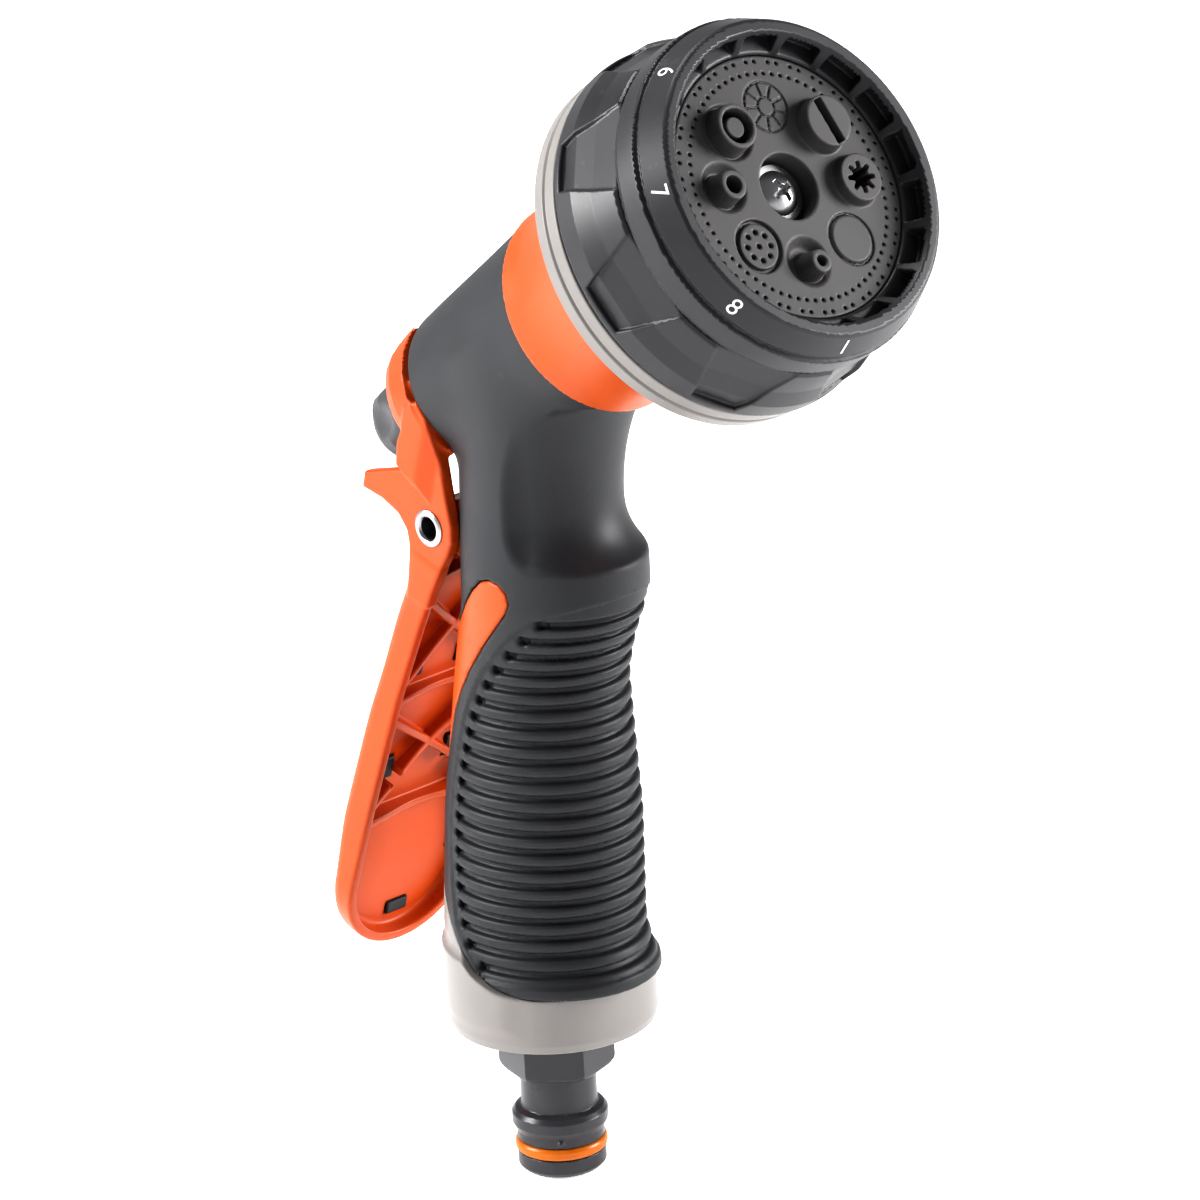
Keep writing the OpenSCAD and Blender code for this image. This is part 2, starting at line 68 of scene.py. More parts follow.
# ---------------------------------------------------------------- places
# A place is an origin and three axes, in millimetres. The head's z runs out along the spray axis, and
# its x down and forward. The lever's z runs up along the lever, and the pin's z along the pin.
head_z = np.array(JOINTS["dial_turn"]["axis"])
head_x = np.array([head_z[2], 0.0, -head_z[0]])
bend = np.array(JOINTS["dial_turn"]["pos_m"]) / MM
pin = np.array(JOINTS["trigger_squeeze"]["pos_m"]) / MM
LEAN = math.radians(18.4)          # of the lever from upright, at rest
lever_x = np.array([math.cos(LEAN), 0.0, -math.sin(LEAN)])
lever_z = np.array([math.sin(LEAN), 0.0, math.cos(LEAN)])
WORLD = (np.zeros(3), np.array([1.0, 0, 0]), UP_Y, np.array([0, 0, 1.0]))
HEAD = (bend, head_x, UP_Y, head_z)
LEVER = (pin, lever_x, UP_Y, lever_z)
PIN = (pin, np.array([1.0, 0, 0]), np.array([0, 0, -1.0]), UP_Y)


def to_place(points, place):
    """Points of the world as coordinates in a place."""
    offset = points - place[0]
    return offset @ place[1], offset @ place[2], offset @ place[3]


def turned_out(vectors, place):
    """Directions in a place, turned into the world's."""
    return vectors[:, :1] * place[1] + vectors[:, 1:2] * place[2] + vectors[:, 2:] * place[3]


def from_place(points, place):
    """Points in a place, as points of the world."""
    return place[0] + points[:, :1] * place[1] + points[:, 1:2] * place[2] + points[:, 2:] * place[3]


def change_place(x, y, z, old, new):
    """Coordinates in the old place, seen in the new one."""
    return to_place(from_place(np.stack([x, y, z], 1), old), new)


# ---------------------------------------------------------------- fields
def smax(a, b, k):
    """Intersection whose edge is rounded over a width of k."""
    h = np.clip(0.5 + 0.5 * (a - b) / k, 0, 1)
    return b + (a - b) * h + k * h * (1 - h)


def smin(a, b, k):
    """Union whose inner corner is filled over a width of k."""
    return -smax(-a, -b, k)


def slab(value, low, high):
    """Distance to the layer between two values, negative inside."""
    return np.maximum(low - value, value - high)


def outline(u, v, points):
    """Signed distance to a closed polygon, negative inside."""
    best = np.full(u.shape, 1e9)
    inside = np.zeros(u.shape, bool)
    for (au, av), (bu, bv) in zip(points, points[1:] + points[:1]):
        eu, ev = bu - au, bv - av
        t = np.clip(((u - au) * eu + (v - av) * ev) / (eu * eu + ev * ev), 0, 1)
        best = np.minimum(best, (u - au - t * eu) ** 2 + (v - av - t * ev) ** 2)
        if ev:
            crosses = (av > v) != (bv > v)
            inside ^= crosses & (u < au + (v - av) * eu / ev)
    return np.where(inside, -1, 1) * np.sqrt(best)


def smooth_table(points, reach=2.5, step=0.25):
    """A function through points of (place, value), with its corners softened over reach."""
    at, values = np.array(points, float).T
    fine = np.arange(at[0] - 4 * reach, at[-1] + 4 * reach, step)
    raw = np.interp(fine, at, values)
    weights = np.exp(-0.5 * (np.arange(-3 * reach, 3 * reach + step, step) / reach) ** 2)
    padded = np.pad(raw, len(weights) // 2, mode="edge")
    soft = np.convolve(padded, weights / weights.sum(), "valid")[: len(fine)]
    return lambda x: np.interp(x, fine, soft)


# ---------------------------------------------------------------- meshes
BLOCK = 8                          # cells along a block's side
CORNERS = np.array([[i, j, k] for i in (0, 1) for j in (0, 1) for k in (0, 1)])
EDGES = [(a, b) for a in range(8) for b in range(a + 1, 8) if abs(CORNERS[a] - CORNERS[b]).sum() == 1]


def grid(counts):
    """Every whole-number place of a grid with these counts along its sides."""
    return np.stack(np.meshgrid(*[np.arange(n) for n in counts], indexing="ij"), -1).reshape(-1, 3)


def in_chunks(field, points, size=300000):
    """The field at many points, a chunk at a time to spare memory."""
    parts = [field(*points[i:i + size].T) for i in range(0, len(points), size)]
    return np.concatenate(parts)


def slope(field, points, h):
    """The field's gradient, by differences over h to each side."""
    def along(axis):
        return (in_chunks(field, points + h * axis) - in_chunks(field, points - h * axis)) / (2 * h)

    return np.stack([along(axis) for axis in np.eye(3)], 1)


def surface(name, field, low, high, cell, place=WORLD):
    """The field's zero surface between low and high, as an object, by surface nets."""
    side = BLOCK * cell
    # Blocks of cells that the surface may cross, with the field at each of their grid points
    low = np.array(low, float) - 2 * cell
    counts = np.ceil((np.array(high) + 2 * cell - low) / side).astype(int)
    blocks = grid(counts)
    blocks = blocks[np.abs(in_chunks(field, low + (blocks + 0.5) * side)) < 1.25 * side]
    inner = grid([BLOCK + 1] * 3)
    points = low + (blocks[:, None] * BLOCK + inner).reshape(-1, 3) * cell
    values = in_chunks(field, points).reshape(-1, BLOCK + 1, BLOCK + 1, BLOCK + 1)
    del points
    # One vertex in each cell that the surface crosses, at the mean of its edges' crossings
    corner_values = np.stack([values[:, i:i + BLOCK, j:j + BLOCK, k:k + BLOCK] for i, j, k in CORNERS], -1)
    below = (corner_values < 0).sum(-1)
    at = np.argwhere((below > 0) & (below < 8))
    corner_values = corner_values[tuple(at.T)]
    total, crossings = np.zeros((len(at), 3)), np.zeros(len(at))
    for a, b in EDGES:
        va, vb = corner_values[:, a], corner_values[:, b]
        cut = (va < 0) != (vb < 0)
        t = np.where(cut, va / np.where(cut, va - vb, 1), 0)
        total += cut[:, None] * (CORNERS[a] + t[:, None] * (CORNERS[b] - CORNERS[a]))
        crossings += cut
    cells = blocks[at[:, 0]] * BLOCK + at[:, 1:]
    points = low + (cells + total / crossings[:, None]) * cell
    span = counts * BLOCK + 2
    keys = ((cells[:, 0] + 1) * span[1] + cells[:, 1] + 1) * span[2] + cells[:, 2] + 1
    order = np.argsort(keys)
    keys, points = keys[order], points[order]
    # One face round each grid edge that the surface crosses
    quads = []
    sign = values < 0
    near = sign[:, :BLOCK, :BLOCK, :BLOCK]
    for axis in range(3):
        far = np.roll(sign, -1, axis + 1)[:, :BLOCK, :BLOCK, :BLOCK]
        edge = np.argwhere(near != far)
        g = blocks[edge[:, 0]] * BLOCK + edge[:, 1:]
        b, c = np.eye(3, dtype=int)[(axis + 1) % 3], np.eye(3, dtype=int)[(axis + 2) % 3]
        ring = np.stack([g - b - c, g - c, g, g - b], 1) + 1
        key = (ring[..., 0] * span[1] + ring[..., 1]) * span[2] + ring[..., 2]
        index = np.clip(np.searchsorted(keys, key), 0, len(keys) - 1)
        found = (keys[index] == key).all(1)
        flip = ~near[tuple(edge.T)]
        index[flip] = index[flip][:, ::-1]
        quads.append(index[found])
    # Two short steps onto the surface itself
    for _ in range(2):
        g = slope(field, points, cell * 0.2)
        move = in_chunks(field, points)[:, None] * g / np.maximum((g * g).sum(1), 0.25)[:, None]
        length = np.linalg.norm(move, axis=1, keepdims=True)
        points = points - move * np.minimum(1, 0.6 * cell / np.maximum(length, 1e-9))
    normals = slope(field, points, cell * 0.2)
    world = from_place(points, place) * MM
    return mesh_object(name, world, np.concatenate(quads), turned_out(normals, place))


def mesh_object(name, points, faces, normals=None):
    """A smooth-shaded object from points in metres, with its own normals where they are given."""
    mesh = bpy.data.meshes.new(name)
    mesh.from_pydata(points, [], faces)
    mesh.polygons.foreach_set("use_smooth", np.ones(len(mesh.polygons), bool))
    if normals is not None:
        normals = normals / np.maximum(np.linalg.norm(normals, axis=1, keepdims=True), 1e-9)
        mesh.normals_split_custom_set_from_vertices(normals)
    mesh.update()
    made = bpy.data.objects.new(name, mesh)
    bpy.context.scene.collection.objects.link(made)
    return made


def rounded(points, radius, steps=4):
    """A closed outline, run counter-clockwise, with its corners rounded, as (point, outward normal)."""
    made = []
    for before, corner, after in zip(points[-1:] + points[:-1], points, points[1:] + points[:1]):
        corner = np.array(corner, float)
        a, b = np.array(before) - corner, np.array(after) - corner
        la, lb = np.linalg.norm(a), np.linalg.norm(b)
        a, b = a / la, b / lb
        half = math.acos(np.clip(a @ b, -1, 1)) / 2
        convex = (-a[0]) * b[1] - (-a[1]) * b[0] > 0
        r = min(radius, 0.45 * min(la, lb) * math.tan(half))
        centre = corner + (a + b) / np.linalg.norm(a + b) * r / math.sin(half)
        start = corner + a * r / math.tan(half) - centre
        turn = (math.pi - 2 * half) * (1 if convex else -1)
        for i in range(steps + 1):
            angle = turn * i / steps
            c, s = math.cos(angle), math.sin(angle)
            arm = np.array([c * start[0] - s * start[1], s * start[0] + c * start[1]])
            made.append((centre + arm, arm / r * (1 if convex else -1)))
    return made


def lathe(name, points, radius, place, segments=160):
    """A ring turned about the place's z axis from an outline of (r, z) points, run counter-clockwise."""
    profile = rounded(points, radius)
    count = len(profile)
    spots, normals = [], []
    for i in range(segments):
        c, s = math.cos(2 * math.pi * i / segments), math.sin(2 * math.pi * i / segments)
        spots += [(p[0] * c, p[0] * s, p[1]) for p, n in profile]
        normals += [(n[0] * c, n[0] * s, n[1]) for p, n in profile]
    faces = []
    for i in range(segments):
        a, b = i * count, (i + 1) % segments * count
        for j in range(count):
            k = (j + 1) % count
            faces.append((a + j, b + j, b + k, a + k))
    spots, normals = np.array(spots), turned_out(np.array(normals), place)
    return mesh_object(name, from_place(spots, place) * MM, faces, normals)


# ---------------------------------------------------------------- handle and barrel
SLEEVE = 2.0                       # thickness of the soft sleeve
# Oval sections of the grip: height, distance forward, half depth, half width
GRIP_SECTIONS = [
    (28.5, 0.9, 20.1, 17.8), (35.7, 0.9, 20.2, 18), (41, 0.9, 20.4, 18.1), (47.1, -0.6, 19.5, 17.4),
    (69.5, 0.8, 19, 16.8), (83.2, 1.6, 17.7, 15.7), (95.6, 2.4, 16.6, 14.8), (103.1, 4.2, 16.9, 14.9),
    (108.7, 6.2, 17.4, 15.3), (112, 6.8, 17.9, 15.3), (117.5, 6.9, 18, 15.1), (122, 7, 18.2, 14.7),
    (128, 7.4, 18.3, 14.4), (140.4, 8.5, 18.7, 14.8), (152.8, 9.5, 18.5, 15.6)]
grip_offset, grip_depth, grip_width = [
    smooth_table([(section[0], section[column]) for section in GRIP_SECTIONS], 1.2) for column in (1, 2, 3)]
# The barrel's radius, by distance out along the head
barrel_radius = smooth_table([(-16, 13.4), (-8, 14.6), (10, 16.8), (28, 19.2), (40, 20.6)], 3)
BARREL_BACK, BARREL_FRONT = -14.6, 28.0
SLEEVE_BORE = 11.4                 # the sleeve's opening at the barrel's back
# Height of the sleeve's foot, by distance forward: the light collar runs up the back in a tongue
foot_height = smooth_table([
    (-22, 58), (-14, 55), (-11, 52), (-8, 49), (-4.8, 45.6), (-0.3, 42.3), (4.8, 40.4), (10, 39.6),
    (24, 39.5)], 0.8)
# Where the ribs end, by height
rib_end = smooth_table([
    (43.9, 1.1), (47, -2.9), (50.2, -4.6), (56.6, -6), (66, -6.2), (75.7, -5.3), (85, -3), (92, -0.2),
    (98.7, 4.1), (106, 11), (110, 15.7)], 0.8)
# Edge of the sunk panel that holds the ribs
panel_edge = smooth_table([
    (40, 3), (43.9, -1.5), (50, -7), (58, -8.6), (66, -8.8), (76, -7.8), (85, -5.4), (92, -2.7), (98.7, 1.6),
    (106, 8), (110, 13), (113, 20), (115.5, 30)], 0.8)
PANEL_DEPTH, PANEL_FOOT = 0.45, 41.6
# Grooves between the ribs, each with a deeper round well at its end
GROOVE_FOOT, GROOVE_STEP, GROOVES = 43.9, 3.3, 21
GROOVE_R, GROOVE_DEPTH = 0.62, 1.15
WELL_R, WELL_DEPTH = 0.8, 1.5
# Side view of the orange inset at the back of the grip
INSET = [(5.8, 117), (3.4, 116.2), (0.6, 113.9), (-2.5, 110.6), (-6, 106.6), (-11, 102.5), (-24, 99),
         (-24, 68), (-14, 73), (-10.3, 82), (-7.3, 89.3), (-4.3, 94.1), (-0.9, 98.9), (3.4, 104.2),
         (7.2, 108.5), (9.6, 111.4), (10.4, 113.3), (10, 115.2), (8.4, 116.6)]
# The finger scoop: part of a ring-shaped groove round the front of the grip
SCOOP_X, SCOOP_Z, SCOOP_TOP = 6.8, 127, 150.3
SCOOP_SLOPE, SCOOP_LEVEL = 0.2, 8      # its middle climbs forward, and is at SCOOP_Z this far forward
SCOOP_RISE, SCOOP_FALL = 1.85, 1.04    # how far it is drawn out upwards and downwards
SCOOP_PATH, SCOOP_TUBE, SCOOP_END = 25.8, 13.0, math.radians(58)
# The orange neck, which flares out towards the back collar
NECK_R, NECK_FLARE, NECK_END = 19.15, 6.75, 52.2
LUG_HALF, LUG_SLOT = 9.3, 9.6          # half widths of the pin's lug and of its slot in the sleeve
LUG_R, LUG_GROWTH, LUG_HOLE = 4.2, 3.0, 3.0    # radius at the pin, growth inwards, and the pin's hole


def grip_field(x, y, z):
    """The grip's oval column."""
    a, b = grip_depth(z), grip_width(z)
    u = x - grip_offset(z)
    reach = np.sqrt((u / a) ** 2 + (y / b) ** 2)
    return reach * (reach - 1) / (np.sqrt((u / a ** 2) ** 2 + (y / b ** 2) ** 2) + 1e-6)


def scoop_field(x, y, z):
    u, w = x - SCOOP_X, z - SCOOP_Z - SCOOP_SLOPE * (x - SCOOP_LEVEL)
    w = np.where(w > 0, w / SCOOP_RISE, w / SCOOP_FALL)
    turn = np.clip(np.arctan2(y, u), -SCOOP_END, SCOOP_END)
    du, dv = u - SCOOP_PATH * np.cos(turn), y - SCOOP_PATH * np.sin(turn)
    return smax(np.sqrt(du * du + dv * dv + w * w) - SCOOP_TUBE, z - SCOOP_TOP, 2)


def handle_field(x, y, z):
    """The whole handle and barrel before any cuts, with the points' places in the head."""
    hx, hy, hz = change_place(x, y, z, WORLD, HEAD)
    radial = np.hypot(hx, hy)
    barrel = (radial - barrel_radius(hz)) * 0.99
    barrel = smax(barrel, slab(hz, BARREL_BACK, 60), 2.4)
    grip = smax(grip_field(x, y, z), -hx - 2, 2)
    return smax(smin(grip, barrel, 3.2), -scoop_field(x, y, z), 0.7), hx, hy, hz, radial


def sleeve_field(x, y, z):
    """The soft sleeve: ribs in a sunk panel, an opening for the inset, a bore and a slot for the lug."""
    base, hx, hy, hz, radial = handle_field(x, y, z)
    field = base.copy()
    near = (np.abs(base) < 3.5) & (z > 38) & (z < 121)
    if near.any():
        xn, zn, bn = x[near], z[near], base[near]
        bn = bn + PANEL_DEPTH * np.clip(np.minimum((xn - panel_edge(zn)) * 1.1, (zn - PANEL_FOOT) * 2), 0, 1)
        row = np.clip(np.round((zn - GROOVE_FOOT) / GROOVE_STEP), 0, GROOVES - 1)
        middle = GROOVE_FOOT + row * GROOVE_STEP
        above, past = zn - middle, xn - rib_end(middle)
        from_line = np.hypot(above, np.minimum(past, 0))
        groove = smax(from_line - GROOVE_R, -bn - GROOVE_DEPTH, 0.5)
        well = smax(np.hypot(above, past) - WELL_R, -bn - WELL_DEPTH, 0.4)
        cut = smax(bn, -np.minimum(groove, well), 0.85)
        inset = smax(outline(xn, zn, INSET), -bn - SLEEVE, 0.2)
        field[near] = smax(cut, -inset, 0.45)
    field = smax(field, (foot_height(x) - z) * 0.8, 0.5)
    field = smax(field, hz - BARREL_FRONT, 0.5)
    bore = np.maximum(radial - SLEEVE_BORE, slab(hz, -30, BARREL_BACK + 5))
    slot = np.maximum(np.abs(y) - LUG_SLOT, slab(z, pin[2] - 5.2, pin[2] + 5.2))
    slot = np.maximum(slot, x + 6)
    return smax(field, -np.minimum(bore, slot), 0.4)


def core_field(x, y, z):
    """The orange core: inside the sleeve, flush with it at the inset, and flared out at the neck."""
    base, hx, hy, hz, radial = handle_field(x, y, z)
    inside = smax(base + SLEEVE, hz - 40, 0.4)
    inside = smax(smax(inside, 31 - z, 0.4), np.hypot(x, y) - 17.6 - np.maximum(0, z - 41), 0.4)
    near = (np.abs(base) < 4) & (z > 64) & (z < 121)
    if near.any():
        pad = smax(outline(x[near], z[near], INSET) + 0.14, np.abs(base[near] + 1.5) - 1.45, 0.5)
        inside[near] = smin(inside[near], pad, 0.1)
    along = np.clip((hz - BARREL_FRONT) / (NECK_END - BARREL_FRONT), 0, 1)
    neck = (radial - NECK_R - NECK_FLARE * along ** 1.7) * 0.93
    neck = smax(neck, slab(hz, BARREL_FRONT - 4, NECK_END), 0.6)
    neck = smax(neck, -smax(radial - 15, 40 - hz, 1), 0.4)
    # Lug for the trigger's pin: a web between two round ends
    t = np.clip((x - pin[0]) / -pin[0], 0, 1)
    lug = np.hypot(x - pin[0] - t * -pin[0], z - pin[2]) - LUG_R - LUG_GROWTH * t
    lug = smax(lug, np.abs(y) - LUG_HALF, 0.6)
    field = np.minimum(smin(inside, neck, 0.2), lug)
    hole = np.hypot(x - pin[0], z - pin[2]) - LUG_HOLE
    bore = np.maximum(radial - 7, slab(hz, -30, 20))
    return smax(field, -np.minimum(hole, bore), 0.2)


def collar_field(x, y, z):
    """The light collar at the grip's foot, with its tongue up the back and its bore for the plug."""
    body = [(0, 28.6), (17.2, 28.6), (18.4, 29.1), (18.8, 30.6), (18.85, 60), (0, 60)]
    field = outline(np.hypot(x, y), z, body)
    field = smax(field, z - 44, 0.4)
    tongue = smax(grip_field(x, y, z), x - 7, 3)
    field = smin(field, smax(tongue, 34 - z, 1), 2.5)
    field = smax(field, (z - foot_height(x) + 0.12) * 0.8, 0.35)
    return smax(field, -smax(np.hypot(x, y) - 9.4, z - 36, 0.3), 0.3)


# ---------------------------------------------------------------- hose plug
PLUG_BORE, PLUG_TOP = 5, 38
# Outline of the turned part as (radius, height): nose, groove of the ring, ridge and neck
PLUG_OUTLINE = [(PLUG_BORE, 0), (7.1, 0), (7.95, 0.9), (7.95, 3.5), (6.75, 3.5), (6.75, 5.9), (7.95, 5.9),
                (7.95, 7.6), (8.7, 9), (8.7, 10.9), (8, 11.7), (6.9, 12.1), (6.9, 21), (6.9, PLUG_TOP),
                (PLUG_BORE, PLUG_TOP)]
HEX_TURN = math.radians(-16)
HEX_HALF, HEX_LOW, HEX_HIGH = 9.1, 19.4, 28.6


def plug_field(x, y, z):
    radial = np.hypot(x, y)
    field = outline(radial, z, PLUG_OUTLINE)
    c, s = math.cos(HEX_TURN), math.sin(HEX_TURN)
    u, v = x * c + y * s, -x * s + y * c
    across = [np.abs(u * math.cos(a) + v * math.sin(a)) for a in np.radians([30, 90, 150])]
    nut = smax(np.maximum.reduce(across) - HEX_HALF, slab(z, HEX_LOW, HEX_HIGH), 0.7)
    nut = smax(nut, (radial - 9.9 - (z - 19.6)) * 0.7, 0.5)
    nut = smax(nut, 4.9 - radial, 0.3)
    spigot = np.maximum(slab(radial, PLUG_BORE, 8.9), slab(z, 28, PLUG_TOP))
    bead = np.sqrt((x - 5.6) ** 2 + (y + 5.35) ** 2 + (z - 6.9) ** 2) - 0.75
    return smin(smin(smin(field, nut, 0.5), spigot, 0.2), bead, 0.3)


# ---------------------------------------------------------------- trigger, in the lever's place
# The paddle's back, its open front and its half width, by height
lever_back = smooth_table([
    (-94, -4), (-77, -4.5), (-64, -5.7), (-42, -5.6), (-31, -4.8), (-21, -4.5), (-15, -3.7), (-6, -3.4)], 2)
lever_front = smooth_table([(-94, 1), (-60, 1), (-36, 1.1), (-20, 2.2), (-10, 3.4), (-5, 4.6)], 2)
lever_half = smooth_table([
    (-94, 16), (-76, 16), (-64, 15.5), (-42, 14), (-21, 12.6), (-12, 12.3), (0, 12.2)], 3)
TIP_Z, TIP_R = -77.2, 16.0
EDGE_WALL, BACK_WALL = 2.0, 1.9
EAR_IN, EAR_OUT, ARM_RISE = 9.8, 12.3, 1.6
PIN_BORE = 2.95
# Side views of an ear, with its tab behind and its arm up to the yoke, and of the raised part of the arm
SIDE = [(-17.8, 1.7), (-17.7, -1.5), (-12.6, -1.0), (-8.1, -1.6), (-5.4, -3.4), (-4.1, -6), (-3.4, -9),
        (-1.8, -15), (3, -15), (3.3, -12), (4.4, -6.2), (5.3, -3.2), (5.7, 0), (4.9, 3), (2.3, 7.6),
        (0, 12.2), (-2.6, 17.1), (-4.4, 20.4), (-7.5, 23.2), (-10.8, 24.4), (-9.4, 15.6), (-10, 12.9),
        (-9.2, 9.4), (-8.7, 7.4)]
ARM = [(-9.3, 8.6), (-10, 12.9), (-9.4, 15.8), (-9.2, 20), (-7.3, 22.6), (-4.4, 20.6), (-2.6, 17.1),
       (0, 12.2), (2.5, 7.4), (4.6, 3.6), (2.4, 3.4), (-3, 5.2)]
# The yoke's cap as (radius, distance along the head), and the bridge between the ears in side view
YOKE = [(0, -22.7), (11, -22.7), (13, -21.6), (13.7, -19.4), (13.9, -15), (0, -15)]
BRIDGE = [(-5.2, -3.6), (-4.2, -3.9), (-2.2, -8), (-1.8, -12.5), (-3.3, -12.5), (-3.4, -8.5), (-4, -5.8)]
# Thin ribs on the lever's inside: ends as (across, along), level ones first and then the crosses
RIBS = [((-14, -11), (14, -11)), ((-15, -38), (15, -38)), ((-16, -64), (16, -64)),
        ((-12.5, -13), (13.5, -37)), ((12.5, -13), (-13.5, -37)),
        ((-14, -40), (15.5, -62.5)), ((14, -40), (-15.5, -62.5))]
RIB_HALF = 0.72
# Feet of the soft pad, which show through the lever's back wall: (across, along, half width, half height)
PAD_FEET = [(0, -87.6, 2.4, 1.2), (-11.6, -76, 0.9, 2.4), (11.6, -76, 0.9, 2.4), (-7.6, -55, 1.2, 2.2),
            (7.6, -55, 1.2, 2.2), (-5.2, -33.5, 1.1, 1.8), (5.2, -33.5, 1.1, 1.8)]
# Shallow grooves across the pad: step, half width and depth
PAD_STEP, PAD_GROOVE, PAD_DEPTH = 5.0, 0.55, 0.35


def paddle_outline(y, z):
    """The paddle seen from the front: its own width, ending in a round tip."""
    below = np.hypot(y, z - TIP_Z) - TIP_R
    return np.where(z < TIP_Z, below, np.abs(y) - lever_half(z))


def lever_field(x, y, z):
    """The orange lever: a ribbed channel below the pin, and ears, arms and a yoke above it."""
    back, front, across = lever_back(z), lever_front(z), np.abs(y)
    edge = paddle_outline(y, z)
    outside = smax(smax(edge, back - x, 2.6), x - front, 0.7)
    outside = smax(outside, z + 6.5, 1)
    hollow = smax(edge + EDGE_WALL, back + BACK_WALL - x, 1.2)
    ribs = np.full(x.shape, 1e3)
    for (ay, az), (by, bz) in RIBS:
        ly, lz = by - ay, bz - az
        t = np.clip(((y - ay) * ly + (z - az) * lz) / (ly * ly + lz * lz), 0, 1)
        ribs = np.minimum(ribs, np.hypot(y - ay - t * ly, z - az - t * lz) - RIB_HALF)
    # Their tops dip in the middle, where the grip's back comes in when the lever is squeezed
    ribs = smax(smax(ribs, x - front + 0.9 + 1.6 * np.exp(-(y / 9) ** 2), 0.4), edge + 0.8, 0.2)
    hollow = smax(hollow, -ribs, 0.6)
    field = smax(outside, -hollow, 0.6)
    for py, pz, half, tall in PAD_FEET:
        field = smax(field, -np.maximum(np.abs(y - py) - half - 0.1, np.abs(z - pz) - tall - 0.1), 0.15)
    side = smax(outline(x, z, SIDE), slab(across, EAR_IN, EAR_OUT), 0.7)
    arm = outline(x, z, ARM)
    arm = smax(arm, slab(across, EAR_IN, EAR_OUT + ARM_RISE), 0.5)
    arm = smax(arm, ((x + 4.2) * 0.42 + (across - EAR_OUT - ARM_RISE) * 0.9), 0.3)
    arm = smax(arm, ((7.6 - z) * 0.45 + (across - EAR_OUT - ARM_RISE) * 0.9), 0.3)
    # Yoke: a cap behind the barrel, hollowed towards it and cut off below the arms
    hx, hy, hz = change_place(x, y, z, LEVER, HEAD)
    radial = np.hypot(hx, hy)
    yoke = outline(radial, hz, YOKE)
    yoke = smax(yoke, -smax(radial - 12.2, -19.2 - hz, 0.5), 0.4)
    yoke = smax(yoke, np.minimum(hx - 9, EAR_IN - 1 - across + np.maximum(0, hx - 14)), 0.6)
    yoke = smax(yoke, hx - 12.5, 0.6)
    slot_x = hx - np.clip(hx, -2.3, 2.3)
    yoke = np.maximum(yoke, 3.7 - np.hypot(slot_x, hy))
    bridge = smax(outline(x, z, BRIDGE), across - 11, 0.3)
    field = smin(field, smin(side, arm, 0.25), 0.9)
    field = smin(smin(field, yoke, 1.2), bridge, 0.6)
    return smax(field, PIN_BORE - np.hypot(x, z), 0.2)


def pad_field(x, y, z):
    """The soft pad on the lever's back, with its feet."""
    back = lever_back(z)
    edge = smax(paddle_outline(y, z) + 3.2, z + 21, 3)
    crown = 1.7 - 0.0045 * y * y
    depth = x - back + crown
    field = smax(edge, slab(x, back - crown, back - 0.04), 1.0)
    grooves = np.abs((z + 100) % PAD_STEP - PAD_STEP / 2) - PAD_GROOVE
    grooves = smax(grooves, edge + 2.2, 0.6)
    field = smax(field, -smax(grooves, -depth - 5, 0.3) - np.maximum(0, (depth - PAD_DEPTH)) * 1.5, 0.5)
    for py, pz, half, tall in PAD_FEET:
        foot = np.maximum(np.abs(y - py) - half, np.abs(z - pz) - tall)
        field = np.minimum(field, smax(foot, slab(x, back - 0.6, back + 2.5), 0.3))
    return field


# ---------------------------------------------------------------- flow knob, in the head's place
KNOB_OUTLINE = [(0, -37.9), (3.4, -37.6), (6, -36.4), (7.8, -34), (8.6, -31), (8.75, -27), (8.3, -24.5),
                (0, -24.5)]


def knob_field(x, y, z):
    """The flow knob: domed, with six finger dimples."""
    radial = np.hypot(x, y)
    field = smin(outline(radial, z, KNOB_OUTLINE), np.maximum(radial - 5, slab(z, -26, -22.9)), 0.2)
    turn = (np.degrees(np.arctan2(y, x)) + 360 + 8) % 60 - 30
    u, v = radial * np.cos(np.radians(turn)), radial * np.sin(np.radians(turn))
    dimple = np.sqrt((u - 13.1) ** 2 + v ** 2 + ((z + 32.6) * 0.8) ** 2) - 6.0
    field = smax(field, -dimple, 0.9)
    return smax(field, -np.maximum(radial - 4.3, -33.5 - z), 0.2)


# ---------------------------------------------------------------- dial, in the head's place
FACE = 80.3                            # the spray face, out along the head's axis
STATION_R, STATION_A = 14.0, -10.6     # the sprays' distance from the middle, and the first one's angle
SPRAY_STEP = 45                        # degrees from one spray to the next
CONE_SPRAY = 5                         # which spray is the cone nozzle


def at_angle(x, y, degrees):
    """Coordinates outward and across at an angle round the head."""
    c, s = math.cos(math.radians(degrees)), math.sin(math.radians(degrees))
    return x * c + y * s, -x * s + y * c


def folded(x, y, first, step):
    """Outward and across coordinates, repeated every step degrees."""
    turn = (np.degrees(np.arctan2(y, x)) - first + step / 2) % step - step / 2
    radial = np.hypot(x, y)
    return radial * np.cos(np.radians(turn)), radial * np.sin(np.radians(turn))


